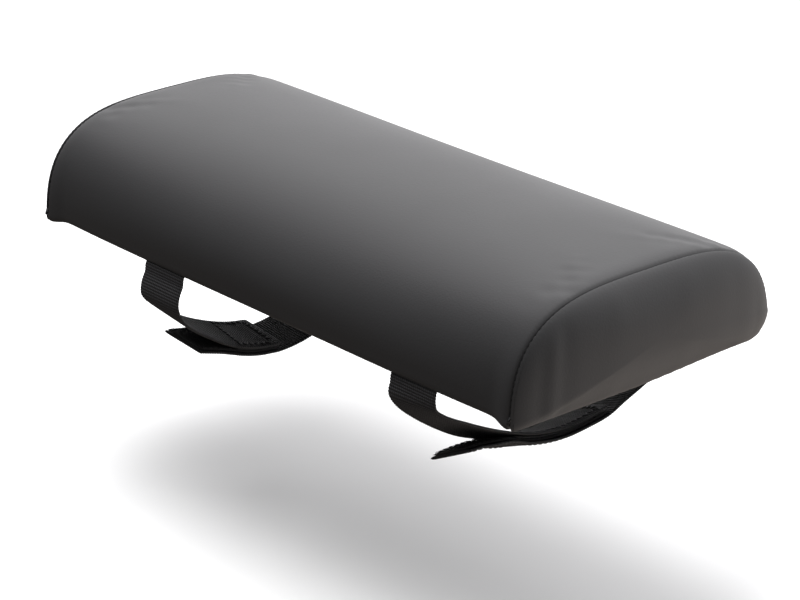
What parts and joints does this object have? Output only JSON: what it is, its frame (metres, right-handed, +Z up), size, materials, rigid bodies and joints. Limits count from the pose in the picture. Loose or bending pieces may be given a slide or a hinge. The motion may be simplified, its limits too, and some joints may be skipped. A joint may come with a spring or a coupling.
{
  "type": "chair armrest pad",
  "caption": "Long D-section armrest cushion in a sewn cover, strapped under the armrest by webbing loops that close with hook-and-loop tape.",
  "frame": {"origin": "centre of the flat underside, where the pad rests on the armrest", "axes": "+X along the pad towards the front loop, +Y across the pad, +Z up out of the armrest"},
  "size_m": [0.2974, 0.1314, 0.0872],
  "materials": {
    "cover_leather": "matte charcoal faux leather, smooth, with a very fine grain",
    "base_cloth": "black non-slip cloth with small rubber dots",
    "board": "thin grey stiffening board, inside the cover",
    "firm_foam": "firm open-cell foam, inside the cover",
    "soft_foam": "soft slow-return foam, inside the cover",
    "webbing": "black woven nylon webbing with ribs across it",
    "hook_tape": "black tape with fine moulded hooks",
    "loop_tape": "black brushed loop tape"
  },
  "bodies": {
    "cushion": {"cover_wrap": "cover_leather", "end_panel_front": "cover_leather", "end_panel_rear": "cover_leather", "base_cloth": "base_cloth", "stiffener_board": "board", "foam_core": "firm_foam", "foam_topper": "soft_foam", "front_upper_strap_end": "webbing", "front_lower_strap_end": "webbing", "rear_upper_strap_end": "webbing", "rear_lower_strap_end": "webbing"},
    "front_upper_half": {"front_upper_strap": "webbing", "front_hook_tape": "hook_tape"},
    "front_lower_half": {"front_lower_strap": "webbing", "front_loop_tape": "loop_tape"},
    "front_tab": {"front_pull_tab": "webbing", "front_tab_tape": "loop_tape"},
    "rear_upper_half": {"rear_upper_strap": "webbing", "rear_hook_tape": "hook_tape"},
    "rear_lower_half": {"rear_lower_strap": "webbing", "rear_loop_tape": "loop_tape"},
    "rear_tab": {"rear_pull_tab": "webbing", "rear_tab_tape": "loop_tape"}
  },
  "joints": [
    {"name": "front_lower_half_open", "type": "hinge", "parent": "cushion", "child": "front_lower_half", "pos_m": [0.0884, 0.0612, -0.0027], "axis": [1, 0, 0], "range_deg": [0, 90]},
    {"name": "front_upper_half_drop", "type": "hinge", "parent": "cushion", "child": "front_upper_half", "pos_m": [0.0884, -0.0612, -0.0027], "axis": [-1, 0, 0], "range_deg": [0, 42]},
    {"name": "front_tab_flex", "type": "hinge", "parent": "front_lower_half", "child": "front_tab", "pos_m": [0.08958, -0.02877, -0.03327], "axis": [0.931, 0.0111, 0.3649], "range_deg": [-8, 60]},
    {"name": "rear_lower_half_open", "type": "hinge", "parent": "cushion", "child": "rear_lower_half", "pos_m": [-0.0599, 0.0612, -0.0027], "axis": [1, 0, 0], "range_deg": [0, 90]},
    {"name": "rear_upper_half_drop", "type": "hinge", "parent": "cushion", "child": "rear_upper_half", "pos_m": [-0.0599, -0.0612, -0.0027], "axis": [-1, 0, 0], "range_deg": [0, 42]},
    {"name": "rear_tab_flex", "type": "hinge", "parent": "rear_lower_half", "child": "rear_tab", "pos_m": [-0.06041, -0.0409, -0.03571], "axis": [0.9873, -0.019, -0.1578], "range_deg": [-8, 60]}
  ],
  "couplings": [
    {"joint": "front_upper_half_drop", "follows": "front_lower_half_open", "ratio": 0.45},
    {"joint": "rear_upper_half_drop", "follows": "rear_lower_half_open", "ratio": 0.45}
  ]
}
